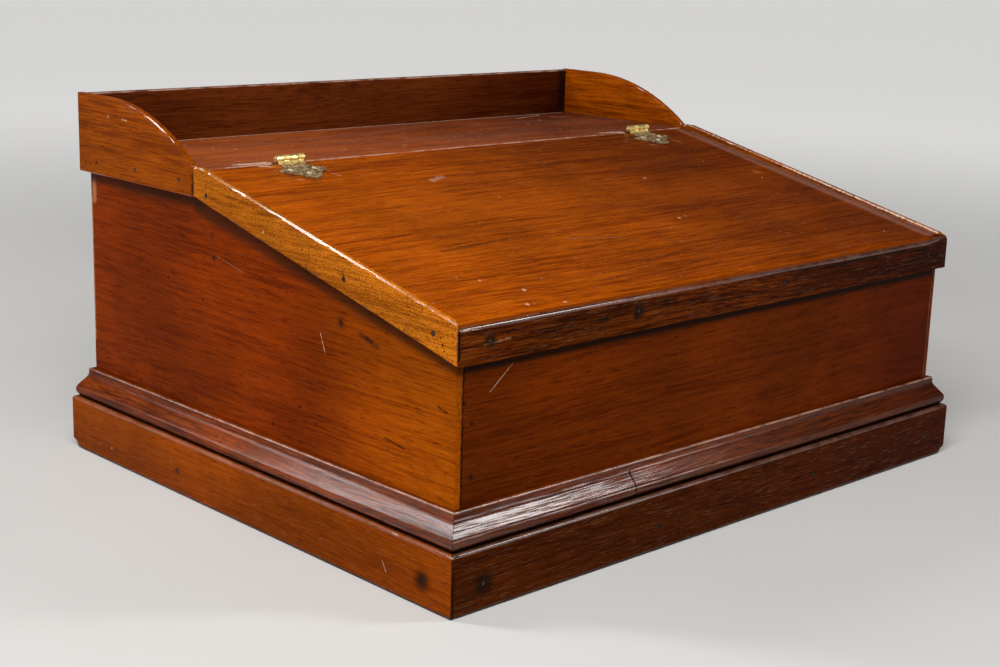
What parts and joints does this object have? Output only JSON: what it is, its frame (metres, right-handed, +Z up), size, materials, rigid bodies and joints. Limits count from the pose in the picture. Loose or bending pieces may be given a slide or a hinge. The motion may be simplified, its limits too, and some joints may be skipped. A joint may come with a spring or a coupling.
{
  "type": "desk box",
  "caption": "Wooden slope-lid desk box on a moulded plinth, with a hinged writing slope over an open compartment and a low curved gallery behind.",
  "frame": {"origin": "on the ground under the middle of the plinth", "axes": "+X to the right along the front, +Y to the back, +Z up"},
  "size_m": [0.6106, 0.5046, 0.3138],
  "materials": {
    "case_wood": "old varnish, red-brown",
    "inner_wood": "bare, dry",
    "plinth_wood": "old varnish, dark brown",
    "moulding_wood": "old varnish, dark brown, open grain",
    "lid_wood": "glossy old varnish, orange-brown",
    "edging_wood": "glossy old varnish, honey brown",
    "front_strip_wood": "worn dark varnish",
    "gallery_wood": "glossy old varnish, hazed",
    "leaf_brass": "tarnished",
    "barrel_brass": "rubbed bright",
    "screw_brass": "tarnished",
    "nail_iron": "rusty, dark"
  },
  "bodies": {
    "case": {"case_front": "case_wood", "case_left": "case_wood", "case_right": "case_wood", "case_back": "case_wood", "case_floor": "inner_wood", "plinth_front": "plinth_wood", "plinth_right": "plinth_wood", "plinth_back": "plinth_wood", "plinth_left": "plinth_wood", "moulding_front": "moulding_wood", "moulding_right": "moulding_wood", "moulding_back": "moulding_wood", "moulding_left": "moulding_wood", "gallery_shelf": "gallery_wood", "gallery_back": "gallery_wood", "gallery_bracket_left": "edging_wood", "gallery_bracket_right": "edging_wood", "hinge_left_fixed_leaf": "barrel_brass", "hinge_right_fixed_leaf": "barrel_brass", "hinge_left_pin": "barrel_brass", "hinge_right_pin": "barrel_brass", "hinge_left_fixed_screw_1": "screw_brass", "hinge_left_fixed_screw_2": "screw_brass", "hinge_right_fixed_screw_1": "screw_brass", "hinge_right_fixed_screw_2": "screw_brass", "plinth_nail_front_1": "nail_iron", "plinth_nail_front_2": "nail_iron", "plinth_nail_front_3": "nail_iron", "plinth_nail_front_4": "nail_iron", "plinth_nail_left_1": "nail_iron", "plinth_nail_left_2": "nail_iron", "plinth_nail_right_1": "nail_iron", "plinth_nail_right_2": "nail_iron", "bracket_nail_left_1": "nail_iron", "bracket_nail_left_2": "nail_iron", "bracket_nail_right_1": "nail_iron", "bracket_nail_right_2": "nail_iron"},
    "lid": {"lid_panel": "lid_wood", "lid_strip_left": "edging_wood", "lid_strip_right": "edging_wood", "lid_strip_front": "front_strip_wood", "hinge_left_lid_leaf": "leaf_brass", "hinge_right_lid_leaf": "leaf_brass", "hinge_left_lid_screw_1": "screw_brass", "hinge_left_lid_screw_2": "screw_brass", "hinge_left_lid_screw_3": "screw_brass", "hinge_right_lid_screw_1": "screw_brass", "hinge_right_lid_screw_2": "screw_brass", "hinge_right_lid_screw_3": "screw_brass", "lid_nail_left_1": "nail_iron", "lid_nail_left_2": "nail_iron", "lid_nail_left_3": "nail_iron", "lid_nail_right_1": "nail_iron", "lid_nail_right_2": "nail_iron", "lid_nail_right_3": "nail_iron", "lid_nail_front_1": "nail_iron", "lid_nail_front_2": "nail_iron", "lid_nail_front_3": "nail_iron", "lid_nail_front_4": "nail_iron"}
  },
  "joints": [
    {"name": "lid_hinge", "type": "hinge", "parent": "case", "child": "lid", "pos_m": [0, 0.0706, 0.2716], "axis": [-1, 0, 0], "range_deg": [0, 140]}
  ]
}
